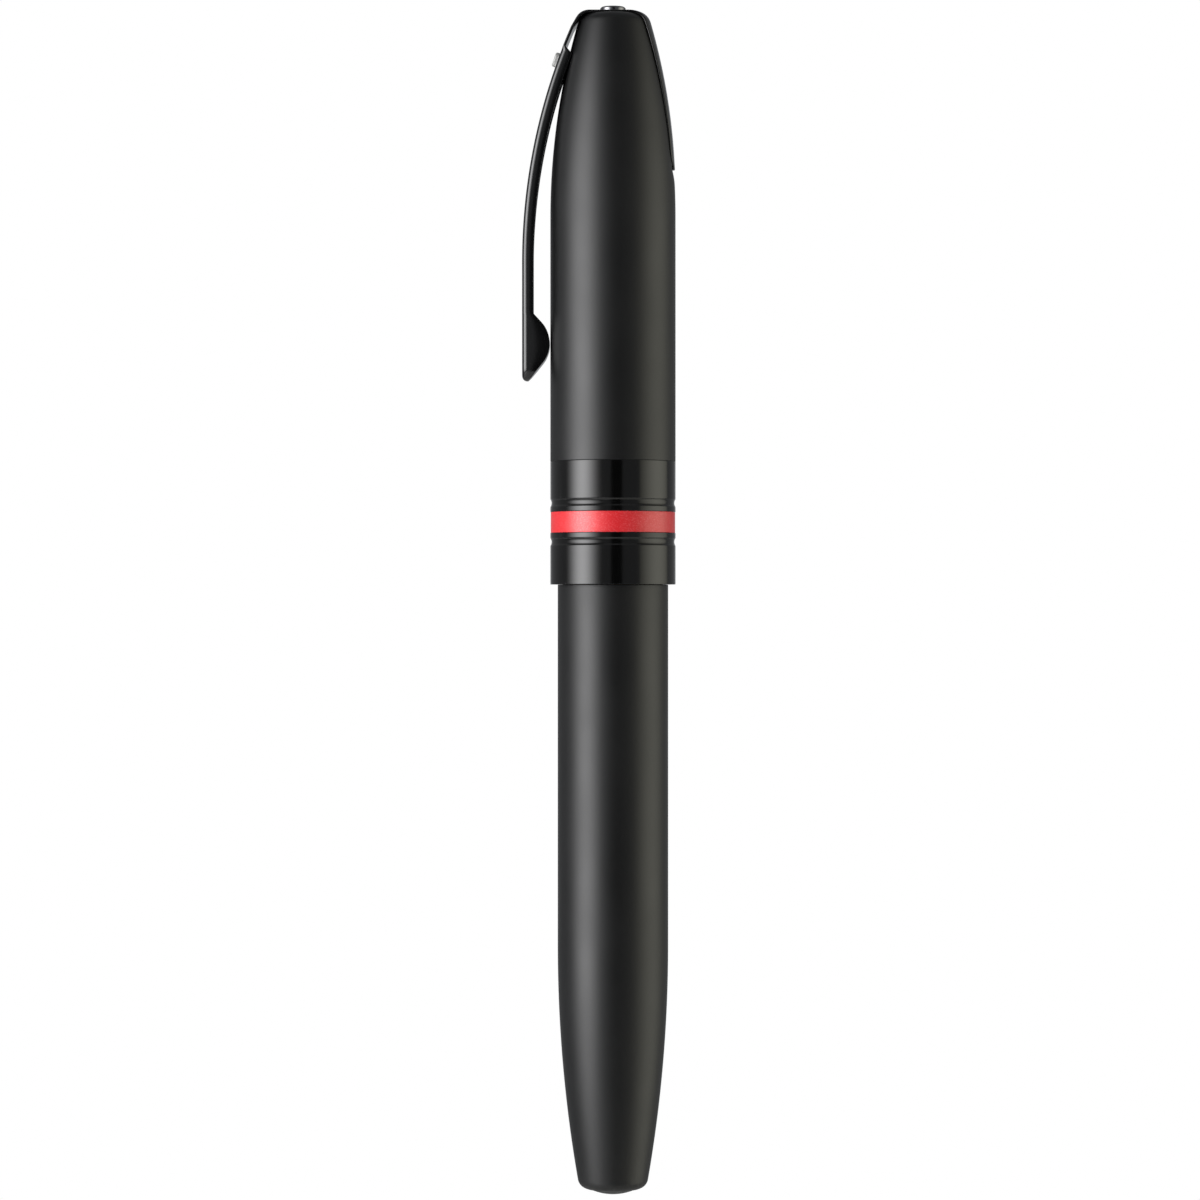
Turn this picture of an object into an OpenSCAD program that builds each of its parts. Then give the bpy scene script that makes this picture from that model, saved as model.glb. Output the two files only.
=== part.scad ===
// Capped marker pen with a pull-off cap, a wrap-over spring clip and a refill cartridge.
// +Z runs up the axis of the pen towards the crown of the cap, and the clip is on the -X side.
// The origin is on the axis, at the shoulder of the barrel where the lip of the cap seats.

/* [Barrel] */
// Outer radius of the parallel part of the barrel
barrel_r = 6.35; // [6:0.05:7.65]
// Length from the cap's seat to the tip of the tail
barrel_len = 70; // [58:0.5:84]
// Length of the parallel part of the barrel
barrel_straight = 41.5; // [34:0.5:50]
// Wall of the barrel tube
barrel_wall = 0.75; // [0.62:0.01:0.9]
// Radius of the flat end that the tail plug covers
tail_flat_r = 2.85; // [2.4:0.05:3.4]
// Radius of the rounded edge of the tail
tail_round = 1.2; // [1:0.05:1.45]
// Height of the domed head of the tail plug
tail_dome = 0.65; // [0.5:0.05:0.8]
// Thickness of the solid nose that holds the tail plug
tail_nose = 4.55; // [3.8:0.05:5.5]

/* [Cap] */
// Length of the cap from its lip to the crown
cap_len = 65.5; // [54.8:0.1:79]
// Height above the lip where the cap starts to taper
cap_straight = 42.3; // [36:0.1:50.8]
// Radius of the flat on the crown
crown_flat_r = 2.75; // [2.3:0.05:3.3]
// Radius of the rounded edge of the crown
crown_round = 1.35; // [1.2:0.05:1.6]
// Thickness of the crown
crown_t = 1.6; // [1.3:0.1:1.9]
// Height of the lower gloss band
lower_band_h = 5.95; // [5.1:0.1:7.4]
// Height of the coloured ring
ring_h = 2.4; // [2:0.1:3]
// Height of the upper gloss band
upper_band_h = 5.8; // [5:0.1:7.2]
// Wall of the bands
band_wall = 0.4; // [0.33:0.01:0.5]
// Wall of the neck that the bands are pressed on
neck_wall = 0.5; // [0.4:0.01:0.6]
// Wall of the guide sleeve in the mouth of the cap
sleeve_wall = 0.42; // [0.35:0.01:0.52]
// Thickness of the turned-in lip of the lower band
lip_t = 0.6; // [0.5:0.05:0.75]
// Width of the decorative groove in each band
groove_w = 0.9; // [0.75:0.05:1.1]
// Depth of the decorative groove in each band
groove_d = 0.14; // [0.1:0.01:0.18]
// Wall of the inner cap
inner_wall = 0.8; // [0.65:0.05:1]

/* [Clip] */
// Thickness of the strap over the crown and down the back
strap_t = 0.32; // [0.26:0.01:0.4]
// Width of the strap
strap_w = 4.4; // [3.6:0.1:5.3]
// Distance from the crown down to the end of the back strap
back_drop = 17.85; // [15:0.1:20]
// Distance from the crown down to where the clip hangs straight
bow_drop = 28.5; // [24:0.1:32]
// Distance from the crown down to the rounded tip of the clip
clip_drop = 42.12; // [36:0.1:50]
// Distance that the clip stands out from the cap
clip_stand = 3.23; // [2.7:0.01:3.9]
// Depth of the folded sides of the clip
flange_d = 1.3; // [1.1:0.05:1.5]
// Wall of the folded sides and face of the clip
clip_t = 0.4; // [0.32:0.01:0.48]
// Width of the clip at its tip
tip_w = 3.2; // [2.6:0.1:3.8]
// Radius of the head of the screw in the crown
screw_head_r = 1.47; // [1.2:0.01:1.8]
// Radius of the shank of the screw in the crown
screw_r = 0.85; // [0.7:0.01:1]
// Angle that the clip can be lifted by, in degrees
clip_lift = 4; // [3:0.5:5]

/* [Section and refill] */
// Length of the grip section ahead of the trim ring
section_len = 24.4; // [21:0.1:29]
// Wall of the threaded insert in the mouth of the barrel
insert_wall = 0.8; // [0.66:0.01:0.96]
// Depth of the threaded insert in the barrel
insert_depth = 12; // [10:0.5:15]
// Length of the spigot that the insert carries ahead of the barrel
spigot_h = 4.6; // [3.8:0.1:5.6]
// Height of the trim ring
trim_h = 1.5; // [1.2:0.1:1.9]
// Length of the threaded stem behind the barrel's mouth
stem_len = 8; // [7:0.5:9.5]
// Outer radius of the refill cartridge
cartridge_r = 3.3; // [2.75:0.05:3.95]
// Length of the refill cartridge
cartridge_len = 77.6; // [65:0.1:79]
// Wall of the refill cartridge
cartridge_wall = 0.5; // [0.4:0.05:0.6]
// Radius of the fibre nib
nib_r = 1.3; // [1.1:0.05:1.55]
// Length of nib that shows ahead of its holder
nib_out = 4.3; // [3.6:0.1:5.2]
// Radius of the wire of the refill spring
wire_r = 0.25; // [0.2:0.01:0.3]

/* [Hidden] */
$fn = 96;

// Gaps between pieces that move on each other, and overshoot of cutting shapes
run_gap = 0.05;
slide_gap = 0.08;
seat_gap = 0.03;
over = 1;
big_fn = 720;

// Radii, from the barrel inwards and then outwards through the cap
barrel_bore_r = barrel_r - barrel_wall;
spigot_r = barrel_bore_r + 0.2;
thread_r = spigot_r - insert_wall;
stem_r = thread_r - run_gap;
land_r = spigot_r - 0.25;
section_bore_r = cartridge_r + 0.1;
holder_r = section_bore_r - 0.8;
flange_r = holder_r + 0.7;
waist_r = land_r - 1.2;
face_chamfer = 0.25;
face_r = waist_r - face_chamfer;
sleeve_bore_r = spigot_r + slide_gap;
shell_bore_r = sleeve_bore_r + sleeve_wall;
band_bore_r = shell_bore_r + neck_wall;
cap_r = band_bore_r + band_wall;
shell_wall = cap_r - shell_bore_r;

// Heights in the barrel
tail_rim_z = -barrel_len + tail_dome;
cavity_z = tail_rim_z + tail_nose;

// Heights of the section and of the pieces in it
trim_z = spigot_h + run_gap;
shoulder_z = trim_z + trim_h + run_gap;
land_top_z = shoulder_z + 6.2;
face_z = shoulder_z + section_len;
front_wall = 8.6;
seat_z = face_z - front_wall;
cone_z = face_z + 0.7;
holder_top_z = cone_z + 3.9;
nib_tip_z = holder_top_z + nib_out;
nib_tail_z = seat_z - 6.5;
cartridge_top_z = seat_z - run_gap;
cartridge_low_z = cartridge_top_z - cartridge_len;
plug_head_h = 1.5;
plug_low_z = cartridge_low_z - plug_head_h;
collar_h = 0.7;
tube_bore_r = cartridge_r - cartridge_wall;

// Heights in the mouth of the cap
ring_z = lower_band_h;
upper_band_z = ring_z + ring_h;
band_top_z = upper_band_z + upper_band_h;
lip_top_z = seat_gap + lip_t;
clutch_z = shoulder_z + 1.5;
sleeve_top_z = clutch_z - run_gap;
clutch_h = 3.8;
inner_base_z = clutch_z + clutch_h + 0.2;
seal_h = 0.75;
seal_z = face_z + run_gap;
seal_bore_r = flange_r + 0.75 * (face_r - flange_r);
flare_z = land_top_z + 8;
inner_bore_r = land_r - 0.35;
chamber_top_z = nib_tip_z + 2.8;
bush_h = 3.98;

// Crown, strap and clip
crown_c_z = cap_len - crown_round;
strap_top_z = cap_len + strap_t;
strap_round = crown_round + strap_t;
strap_straight = cap_straight + 2.3;
slot_top_z = crown_c_z - 5.4;
strap_end_z = cap_len - back_drop;
slot_end_gap = 0.3;
neck_angle = 30;
clip_reach = cap_r + clip_stand;
bow_z = cap_len - bow_drop;
tip_z = cap_len - clip_drop;
pivot_x = -crown_flat_r - strap_round * cos(neck_angle);
pivot_z = crown_c_z + strap_round * sin(neck_angle);
neck_len = 1.23;
neck_x = pivot_x - neck_len * sin(neck_angle);
neck_z = pivot_z - neck_len * cos(neck_angle);
bow_r = (pow(neck_z - bow_z, 2) + pow(clip_reach + neck_x, 2)) / (2 * (clip_reach + neck_x));
bow_x = bow_r - clip_reach;
flange_top_z = neck_z - 2.3;
flange_ramp = 6.2;
heel_z = tip_z + 4.2;
heel_r = 3;
heel_gap = 0.04;
heel_x = -cap_r - heel_gap;
heel_top_z = heel_z + 3.55;
rivet_z = neck_z - 3.65;
rivet_len = 1.7;
rivet_w = 1;
rivet_proud = 0.55;
rivet_tilt = asin((rivet_z - bow_z) / bow_r);

// Radius of the long arc that runs from a parallel side of radius r at z0 into a rounded edge
function ogive_r(r, z0, z1, flat, edge) =
    (pow(z1 - edge - z0, 2) + pow(r - flat, 2) - pow(edge, 2)) / (2 * (r - flat - edge));

// Half outline of a tapered end: parallel to z0, a long arc, a rounded edge and a flat top at z1
module ogive_2d(r, z0, z1, flat, edge, base) {
    arc_r = ogive_r(r, z0, z1, flat, edge);
    reach = arc_r - edge;
    meet_x = flat + edge * (flat - r + arc_r) / reach;
    meet_z = z1 - edge + edge * (z1 - edge - z0) / reach;
    translate([0, base]) square([r, z0 - base]);
    intersection() {
        translate([r - arc_r, z0]) circle(r = arc_r, $fn = big_fn);
        translate([0, z0]) square([r, meet_z - z0]);
    }
    translate([0, meet_z]) square([flat, z1 - meet_z]);
    intersection() {
        translate([flat, z1 - edge]) circle(r = edge);
        translate([flat, meet_z]) square([meet_x - flat, z1 - meet_z]);
    }
}

// Ring of rectangular section
module ring(r_out, r_in, z_low, height) {
    rotate_extrude() translate([r_in, z_low]) square([r_out - r_in, height]);
}

// Outline in the X-Z plane, made as wide as w across Y
module side_plate(w) {
    rotate([90, 0, 0]) linear_extrude(height = w, center = true) children();
}

// Outline in the Y-Z plane, carried along X from x_low to x_high
module plan_plate(x_low, x_high) {
    translate([x_low, 0, 0]) rotate([90, 0, 90]) linear_extrude(height = x_high - x_low) children();
}

// ---------------------------------------------------------------- barrel

module barrel_outline() {
    mirror([0, 1]) ogive_2d(barrel_r, barrel_straight, -tail_rim_z, tail_flat_r, tail_round, 0);
}

module barrel_cavity() {
    intersection() {
        mirror([0, 1]) ogive_2d(barrel_bore_r, barrel_straight, -tail_rim_z - barrel_wall,
                                tail_flat_r, tail_round - barrel_wall, -over);
        translate([0, cavity_z]) square([barrel_r, over - cavity_z]);
    }
}

plug_shank_r = tail_flat_r - 0.65;

module barrel_tube() {
    color("#242426") difference() {
        rotate_extrude() difference() {
            barrel_outline();
            barrel_cavity();
        }
        translate([0, 0, tail_rim_z - over]) cylinder(r = plug_shank_r, h = tail_nose + 2 * over);
    }
}

// Pressed into the mouth of the barrel; its bore is the female thread at pitch size
module barrel_insert() {
    color("#b08d57") {
        ring(barrel_bore_r, thread_r, -insert_depth, insert_depth);
        ring(spigot_r, thread_r, 0, spigot_h);
    }
}

// Domed stopper pressed into the nose of the barrel
module tail_plug() {
    head_r = tail_flat_r - run_gap;
    dome_r = (pow(head_r, 2) + pow(tail_dome, 2)) / (2 * tail_dome);
    color("#1c1c1e") {
        translate([0, 0, tail_rim_z]) cylinder(r = plug_shank_r, h = tail_nose);
        rotate_extrude() intersection() {
            translate([0, -barrel_len + dome_r]) circle(r = dome_r, $fn = big_fn);
            translate([0, -barrel_len]) square([head_r, tail_dome]);
        }
    }
}

// Points of one ring of the spring wire at angle a and height z
spring_r = 2.4;
wire_sides = 8;
spring_turns = 6;
spring_steps = 20;
function wire_ring(a, z) = [
    for (k = [0 : wire_sides - 1])
        let (b = 360 * k / wire_sides, rr = spring_r + wire_r * cos(b))
        [rr * cos(a), rr * sin(a), z + wire_r * sin(b)]
];

// Compression spring that keeps the refill seated
module refill_spring() {
    rings = spring_turns * spring_steps;
    low = cavity_z + wire_r + run_gap;
    high = plug_low_z - wire_r - run_gap;
    pts = [for (i = [0 : rings]) each wire_ring(360 * i / spring_steps, low + (high - low) * i / rings)];
    sides = [
        for (i = [0 : rings - 1], k = [0 : wire_sides - 1])
            let (n = (k + 1) % wire_sides, a = i * wire_sides, b = a + wire_sides)
            each [[a + k, b + k, b + n], [a + k, b + n, a + n]]
    ];
    ends = [
        [for (k = [0 : wire_sides - 1]) k],
        [for (k = [wire_sides - 1 : -1 : 0]) rings * wire_sides + k]
    ];
    color("silver") polyhedron(points = pts, faces = concat(sides, ends));
}

// ---------------------------------------------------------------- section and refill

// Loose ring between the barrel and the section, which travels with the section as it unscrews
module trim_ring() {
    color("#1c1c1e") ring(spigot_r, thread_r, trim_z, trim_h);
}

o_ring_z = spigot_h / 2;
o_ring_w = 0.33;
o_groove_h = 0.8;
o_floor_r = stem_r - 2 * o_ring_w;
waist_z = face_z - 6.1;
grip_r = land_r - 0.25;
edge_cut = 0.5;

// Outline of the part of the section that the fingers hold
module grip_outline() {
    rise = waist_z - land_top_z;
    sweep_r = (pow(grip_r - waist_r, 2) + pow(rise, 2)) / (2 * (grip_r - waist_r));
    difference() {
        translate([0, land_top_z]) square([grip_r, face_z - land_top_z]);
        translate([waist_r + sweep_r, waist_z]) circle(r = sweep_r, $fn = big_fn);
        translate([waist_r + 0.25, face_z]) rotate(45)
            square(edge_cut * sqrt(2), center = true);
    }
}

module grip_section() {
    color("#202022") difference() {
        rotate_extrude() difference() {
            union() {
                translate([0, -stem_len]) square([stem_r, shoulder_z + stem_len]);
                translate([0, shoulder_z]) square([land_r, land_top_z - shoulder_z]);
                grip_outline();
            }
            translate([o_floor_r, o_ring_z - o_groove_h / 2]) square([over, o_groove_h]);
        }
        translate([0, 0, -stem_len - over])
            cylinder(r = section_bore_r, h = stem_len + over + seat_z);
        translate([0, 0, seat_z - over]) cylinder(r = holder_r, h = front_wall + 2 * over);
    }
}

module section_o_ring() {
    ring_gap = 0.02;
    color("#111111") rotate_extrude()
        translate([stem_r - o_ring_w + ring_gap / 2, o_ring_z]) circle(r = o_ring_w - ring_gap);
}

// Cone that holds the nib in the front of the section
module nib_holder() {
    base_r = holder_r + 0.4;
    tip_r = nib_r + 0.6;
    color("#2b2b2d") difference() {
        rotate_extrude() polygon([
            [0, seat_z], [holder_r, seat_z], [holder_r, face_z], [flange_r, face_z],
            [flange_r, cone_z], [base_r, cone_z], [tip_r, holder_top_z], [0, holder_top_z]
        ]);
        translate([0, 0, seat_z - over]) cylinder(r = nib_r, h = holder_top_z - seat_z + 2 * over);
    }
}

// Bullet-shaped fibre nib, whose tail is pushed into the reservoir
module fibre_nib() {
    color("#d9b25f") rotate_extrude()
        ogive_2d(nib_r, nib_tip_z - 2.3, nib_tip_z, 0.2, 0.35, nib_tail_z);
}

module cartridge_tube() {
    color("#e8e8e2") ring(cartridge_r, tube_bore_r, cartridge_low_z, cartridge_len);
}

// Fibre rod that holds the ink, bored to take the tail of the nib
module ink_reservoir() {
    low = cartridge_low_z + 3.5;
    high = cartridge_top_z - collar_h;
    color("#c99a3a") difference() {
        translate([0, 0, low]) cylinder(r = tube_bore_r, h = high - low);
        translate([0, 0, nib_tail_z]) cylinder(r = nib_r, h = high - nib_tail_z + over);
    }
}

module cartridge_collar() {
    color("#f2f2f0") ring(tube_bore_r, nib_r + run_gap, cartridge_top_z - collar_h, collar_h);
}

module cartridge_plug() {
    color("#f2f2f0") {
        translate([0, 0, plug_low_z]) cylinder(r = cartridge_r, h = plug_head_h);
        translate([0, 0, cartridge_low_z]) cylinder(r = tube_bore_r, h = 3.5);
    }
}

// ---------------------------------------------------------------- cap

clutch_r = shell_bore_r - 0.06;
clutch_t = 0.18;
clutch_base_h = 0.95;
finger_count = 6;
finger_angle = 40;
split_angle = 15;
finger_low_z = clutch_z + clutch_base_h - 0.15;
finger_mid_z = (finger_low_z + clutch_z + clutch_h) / 2;
finger_grip_r = land_r + seat_gap;

// Outline of one bowed spring finger
module finger_outline() {
    half = (clutch_z + clutch_h - finger_low_z) / 2;
    bow = clutch_r - clutch_t - finger_grip_r;
    arc_r = (pow(bow, 2) + pow(half, 2)) / (2 * bow);
    intersection() {
        translate([finger_grip_r + arc_r, finger_mid_z]) difference() {
            circle(r = arc_r);
            circle(r = arc_r - clutch_t);
        }
        translate([0, finger_low_z]) square([finger_grip_r + arc_r, 2 * half]);
    }
}

// Split spring ring that grips the section and lets the cap turn round it
module clutch_ring() {
    color("silver") {
        rotate(split_angle / 2) rotate_extrude(angle = 360 - split_angle)
            translate([clutch_r - clutch_t, clutch_z]) square([clutch_t, clutch_base_h]);
        for (i = [0 : finger_count - 1])
            rotate((i + 0.5) * 360 / finger_count - finger_angle / 2)
                rotate_extrude(angle = finger_angle) finger_outline();
    }
}

module cap_outline() {
    ogive_2d(cap_r, cap_straight, cap_len, crown_flat_r, crown_round, band_top_z);
}

module cap_cavity() {
    intersection() {
        ogive_2d(shell_bore_r, cap_straight, cap_len - shell_wall, crown_flat_r,
                 crown_round - shell_wall, -over);
        translate([0, -over]) square([cap_r, cap_len - crown_t + over]);
    }
}

// Underside of the strap: the floor of its slot, and above that the cap's own surface
module strap_seat() {
    intersection() {
        ogive_2d(cap_r - strap_t, strap_straight, cap_len, crown_flat_r, crown_round, 0);
        square([cap_r, slot_top_z]);
    }
    intersection() {
        cap_outline();
        translate([0, slot_top_z]) square([cap_r, cap_len]);
    }
}

// Plan of the back strap, with its rounded end
module strap_plan(w, end_z) {
    translate([-w / 2, end_z + w / 2]) square([w, strap_top_z + over - end_z - w / 2]);
    translate([0, end_z + w / 2]) circle(d = w);
}

slot_w = strap_w + 2 * seat_gap;

module cap_shell() {
    color("#242426") difference() {
        rotate_extrude() difference() {
            union() {
                cap_outline();
                translate([0, lip_top_z]) square([band_bore_r, band_top_z - lip_top_z]);
            }
            cap_cavity();
        }
        intersection() {
            rotate_extrude() difference() {
                square([cap_r + over, slot_top_z]);
                strap_seat();
            }
            plan_plate(0, cap_r + over) strap_plan(slot_w, strap_end_z - slot_end_gap);
        }
        translate([0, 0, cap_len - crown_t - over])
            cylinder(r = screw_r + run_gap, h = crown_t + 2 * over);
    }
}

// Band outline from z_low to z_high with a shallow groove at groove_z
module band_outline(z_low, z_high, groove_z) {
    arc_r = (pow(groove_w / 2, 2) + pow(groove_d, 2)) / (2 * groove_d);
    difference() {
        translate([band_bore_r, z_low]) square([band_wall, z_high - z_low]);
        translate([cap_r - groove_d + arc_r, groove_z]) circle(r = arc_r);
    }
}

groove_inset = 1.03;

module lower_band() {
    color("#141415") rotate_extrude() {
        band_outline(seat_gap, ring_z, ring_z - groove_inset);
        translate([sleeve_bore_r, seat_gap]) square([band_bore_r - sleeve_bore_r, lip_t]);
    }
}

module coloured_ring() {
    color("#d7262a") ring(cap_r - 0.05, band_bore_r, ring_z, ring_h);
}

module upper_band() {
    color("#141415") rotate_extrude()
        band_outline(upper_band_z, band_top_z, upper_band_z + groove_inset);
}

// Guide sleeve that runs on the spigot of the barrel
module cap_sleeve() {
    color("#b08d57") ring(shell_bore_r, sleeve_bore_r, lip_top_z, sleeve_top_z - lip_top_z);
}

// Plastic liner that closes round the front of the section and keeps the nib wet
module inner_cap() {
    body_r = shell_bore_r - 0.1;
    chamber_r = seal_bore_r + inner_wall;
    shoulder_top_z = seal_z + seal_h + inner_wall;
    color("#dcdcd6") rotate_extrude() difference() {
        polygon([
            [0, inner_base_z], [shell_bore_r, inner_base_z], [shell_bore_r, inner_base_z + 1.5],
            [body_r, inner_base_z + 1.5], [body_r, shoulder_top_z],
            [chamber_r, shoulder_top_z + 1.4], [chamber_r, chamber_top_z + inner_wall],
            [0, chamber_top_z + inner_wall]
        ]);
        polygon([
            [0, inner_base_z - over], [land_r + 0.2, inner_base_z - over], [land_r + 0.2, flare_z],
            [inner_bore_r, flare_z + 2], [inner_bore_r, seal_z + seal_h],
            [seal_bore_r, seal_z + seal_h], [seal_bore_r, chamber_top_z], [0, chamber_top_z]
        ]);
    }
}

module inner_cap_seal() {
    color("#303030") ring(inner_bore_r, seal_bore_r, seal_z, seal_h);
}

// Threaded bush inside the crown that the clip screw pulls up
module crown_bush() {
    color("#b08d57") ring(screw_r + 1.55, screw_r + run_gap, cap_len - crown_t - bush_h, bush_h);
}

// ---------------------------------------------------------------- clip

// Strap over the crown: it wraps the cap's taper at the back and lies flat towards the clip
module clip_yoke() {
    color("#141415") difference() {
        union() {
            intersection() {
                rotate_extrude() difference() {
                    ogive_2d(cap_r, strap_straight, strap_top_z, crown_flat_r, strap_round, 0);
                    strap_seat();
                }
                plan_plate(0, cap_r + over) strap_plan(strap_w, strap_end_z);
            }
            side_plate(strap_w) {
                translate([-crown_flat_r, cap_len]) square([crown_flat_r, strap_t]);
                intersection() {
                    translate([-crown_flat_r, crown_c_z]) difference() {
                        circle(r = strap_round);
                        circle(r = crown_round);
                    }
                    translate([-crown_flat_r, crown_c_z]) polygon([
                        [0, 0], [0, 2 * strap_round], [-2 * strap_round, 2 * strap_round],
                        [-4 * strap_round * cos(neck_angle), 4 * strap_round * sin(neck_angle)]
                    ]);
                }
            }
        }
        translate([0, 0, cap_len - over]) cylinder(r = screw_r + run_gap, h = strap_t + 2 * over);
    }
}

module clip_screw() {
    head_h = 0.58;
    head_edge = 0.15;
    socket_d = 1.3;
    color("#6a6a6e") difference() {
        union() {
            translate([0, 0, strap_top_z - 5]) cylinder(r = screw_r, h = 5);
            rotate_extrude() difference() {
                translate([0, strap_top_z]) square([screw_head_r, head_h]);
                translate([screw_head_r, strap_top_z + head_h]) rotate(45)
                    square(head_edge * sqrt(2), center = true);
            }
        }
        translate([0, 0, strap_top_z + 0.1]) cylinder(d = socket_d, h = over, $fn = 6);
    }
}

// Side outline of the clip's bowed face, depth d inwards from its outer surface
module bow_outline(d, z_low) {
    intersection() {
        translate([bow_x, bow_z]) difference() {
            circle(r = bow_r, $fn = big_fn);
            circle(r = bow_r - d, $fn = big_fn);
        }
        translate([-clip_reach - over, bow_z]) square([clip_reach, neck_z - 0.1 - bow_z]);
    }
    translate([-clip_reach, z_low]) square([d, bow_z - z_low]);
}

tip_r = 0.62;

// Side outline of the neck, from its split at the bend to the top of the bow
module neck_outline() {
    split_gap = 0.02;
    skin = 0.01;
    along = [-sin(neck_angle), -cos(neck_angle)];
    inward = [cos(neck_angle), -sin(neck_angle)];
    start = [pivot_x, pivot_z] + split_gap * along;
    foot = [neck_x - skin, neck_z] + 0.25 * along;
    polygon([start, start + strap_t * inward, foot + (strap_t + 2 * skin) * inward, foot]);
}

// Side outline of the folded sides, kept clear of the cap's taper, the heel and the rounded tip
module clip_outline() {
    bow_outline(strap_t, tip_z + tip_r);
    difference() {
        bow_outline(flange_d, tip_z + tip_r);
        polygon([
            [-clip_reach, neck_z + over], [-clip_reach, flange_top_z],
            [bow_x - sqrt(pow(bow_r - strap_t / 2, 2) - pow(flange_top_z - bow_z, 2)), flange_top_z],
            [0, flange_top_z - flange_ramp], [0, neck_z + over]
        ]);
        mirror([1, 0])
            ogive_2d(cap_r, cap_straight, cap_len, crown_flat_r, crown_round, heel_top_z + over);
    }
    translate([-clip_reach + tip_r, tip_z + tip_r]) circle(r = tip_r);
    heel_outline();
}

// Rounded heel that presses on the cap
module heel_outline() {
    intersection() {
        translate([heel_x - heel_r, heel_z]) circle(r = heel_r);
        translate([-clip_reach + tip_r, tip_z + tip_r / 2]) square([heel_r + over, heel_z - tip_z]);
    }
    polygon([
        [-clip_reach + clip_t, heel_z], [heel_x, heel_z], [heel_x - 0.03, heel_z + 0.7],
        [heel_x - 0.15, heel_z + 1.3], [heel_x - 0.38, heel_z + 1.85],
        [-clip_reach + flange_d, heel_top_z], [-clip_reach + clip_t, heel_top_z]
    ]);
}

// Plan of the clip: full width at the neck, tapered to a round tip, drawn in by t all round
module clip_plan(t) {
    top = strap_w / 2 - t;
    low = tip_w / 2 - t;
    end_z = tip_z + tip_w / 2;
    polygon([[-top, pivot_z + over], [-top, flange_top_z], [-low, end_z], [low, end_z],
             [top, flange_top_z], [top, pivot_z + over]]);
    translate([0, end_z]) circle(r = low);
}

module rivet_body(low, high) {
    translate([bow_x, 0, bow_z]) rotate([0, rivet_tilt, 0]) translate([-bow_r - high, 0, 0])
        rotate([0, 90, 0]) linear_extrude(height = high - low) {
            square([rivet_len - rivet_w, rivet_w], center = true);
            for (side = [-1, 1]) translate([side * (rivet_len - rivet_w) / 2, 0]) circle(d = rivet_w);
        }
}

// Spring arm of the clip: a thin neck that opens into a folded channel with a heel
module clip_blade() {
    color("#141415") {
        side_plate(strap_w) neck_outline();
        difference() {
            intersection() {
                side_plate(2 * strap_w) clip_outline();
                plan_plate(-clip_reach - over, 0) clip_plan(0);
            }
            intersection() {
                side_plate(2 * strap_w) difference() {
                    translate([-clip_reach - over, heel_top_z])
                        square([clip_reach, flange_top_z + over - heel_top_z]);
                    translate([-clip_reach - over, 0]) square([over, cap_len]);
                    translate([bow_x, bow_z]) difference() {
                        circle(r = bow_r + 2 * over, $fn = big_fn);
                        circle(r = bow_r - clip_t, $fn = big_fn);
                    }
                }
                plan_plate(-clip_reach - over, 0) clip_plan(clip_t);
            }
            rivet_body(-clip_t - over, rivet_proud);
        }
    }
}

// Oval stud riveted through the face of the clip
module clip_rivet() {
    color("#c8c8c6") rivet_body(-clip_t, rivet_proud);
}

barrel_tube();
barrel_insert();
tail_plug();
refill_spring();
trim_ring();
grip_section();
section_o_ring();
nib_holder();
fibre_nib();
cartridge_tube();
ink_reservoir();
cartridge_collar();
cartridge_plug();
clutch_ring();
cap_shell();
lower_band();
coloured_ring();
upper_band();
cap_sleeve();
inner_cap();
inner_cap_seal();
crown_bush();
clip_yoke();
clip_screw();
clip_blade();
clip_rivet();
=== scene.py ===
import math

import bmesh
import bpy
from mathutils import Matrix, Vector


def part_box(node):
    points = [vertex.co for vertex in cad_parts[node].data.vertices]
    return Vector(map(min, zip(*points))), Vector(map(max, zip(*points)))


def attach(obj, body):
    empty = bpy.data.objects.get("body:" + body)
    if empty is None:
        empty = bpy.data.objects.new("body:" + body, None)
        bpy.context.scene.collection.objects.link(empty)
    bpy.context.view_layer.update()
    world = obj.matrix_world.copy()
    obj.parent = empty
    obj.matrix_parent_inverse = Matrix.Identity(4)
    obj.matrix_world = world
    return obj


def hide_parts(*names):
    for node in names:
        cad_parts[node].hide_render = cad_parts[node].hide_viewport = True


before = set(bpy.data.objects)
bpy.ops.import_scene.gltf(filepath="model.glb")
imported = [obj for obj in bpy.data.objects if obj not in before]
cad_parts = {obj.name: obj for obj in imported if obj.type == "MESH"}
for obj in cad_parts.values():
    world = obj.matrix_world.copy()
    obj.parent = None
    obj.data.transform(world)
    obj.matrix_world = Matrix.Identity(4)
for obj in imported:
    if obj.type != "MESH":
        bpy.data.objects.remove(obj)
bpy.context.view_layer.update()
MM = 0.001

# ---------------------------------------------------------------- barrel tube
# The barrel is a drawn brass tube, parallel from its mouth and tapered to the tail on one long arc.
# It is sprayed with satin black lacquer, which has a very fine grain and no shine of its own.


def extent(node):
    """Outer radius, lowest and highest point of a turned CAD node, in mm."""
    low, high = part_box(node)
    return high.y / MM, low.z / MM, high.z / MM


def sweep_of(count):
    """Shares from 0 to 1, both ends included."""
    return [k / count for k in range(count + 1)]


def tapered(r, start, end, flat, edge, steps=36):
    """Side that is parallel up to start, then one long arc into a rounded edge and a flat at end."""
    rise = end - edge - start
    arc = (rise**2 + (r - flat) ** 2 - edge**2) / (2 * (r - flat - edge))
    lean = math.asin(rise / (arc - edge))
    side = [(r - arc + arc * math.cos(lean * s), start + arc * math.sin(lean * s)) for s in sweep_of(steps)]
    turn = [lean + (math.pi / 2 - lean) * s for s in sweep_of(10)]
    return side + [(flat + edge * math.cos(a), end - edge + edge * math.sin(a)) for a in turn[1:]]


def upside_down(outline):
    return [(r, -z) for r, z in outline]


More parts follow.
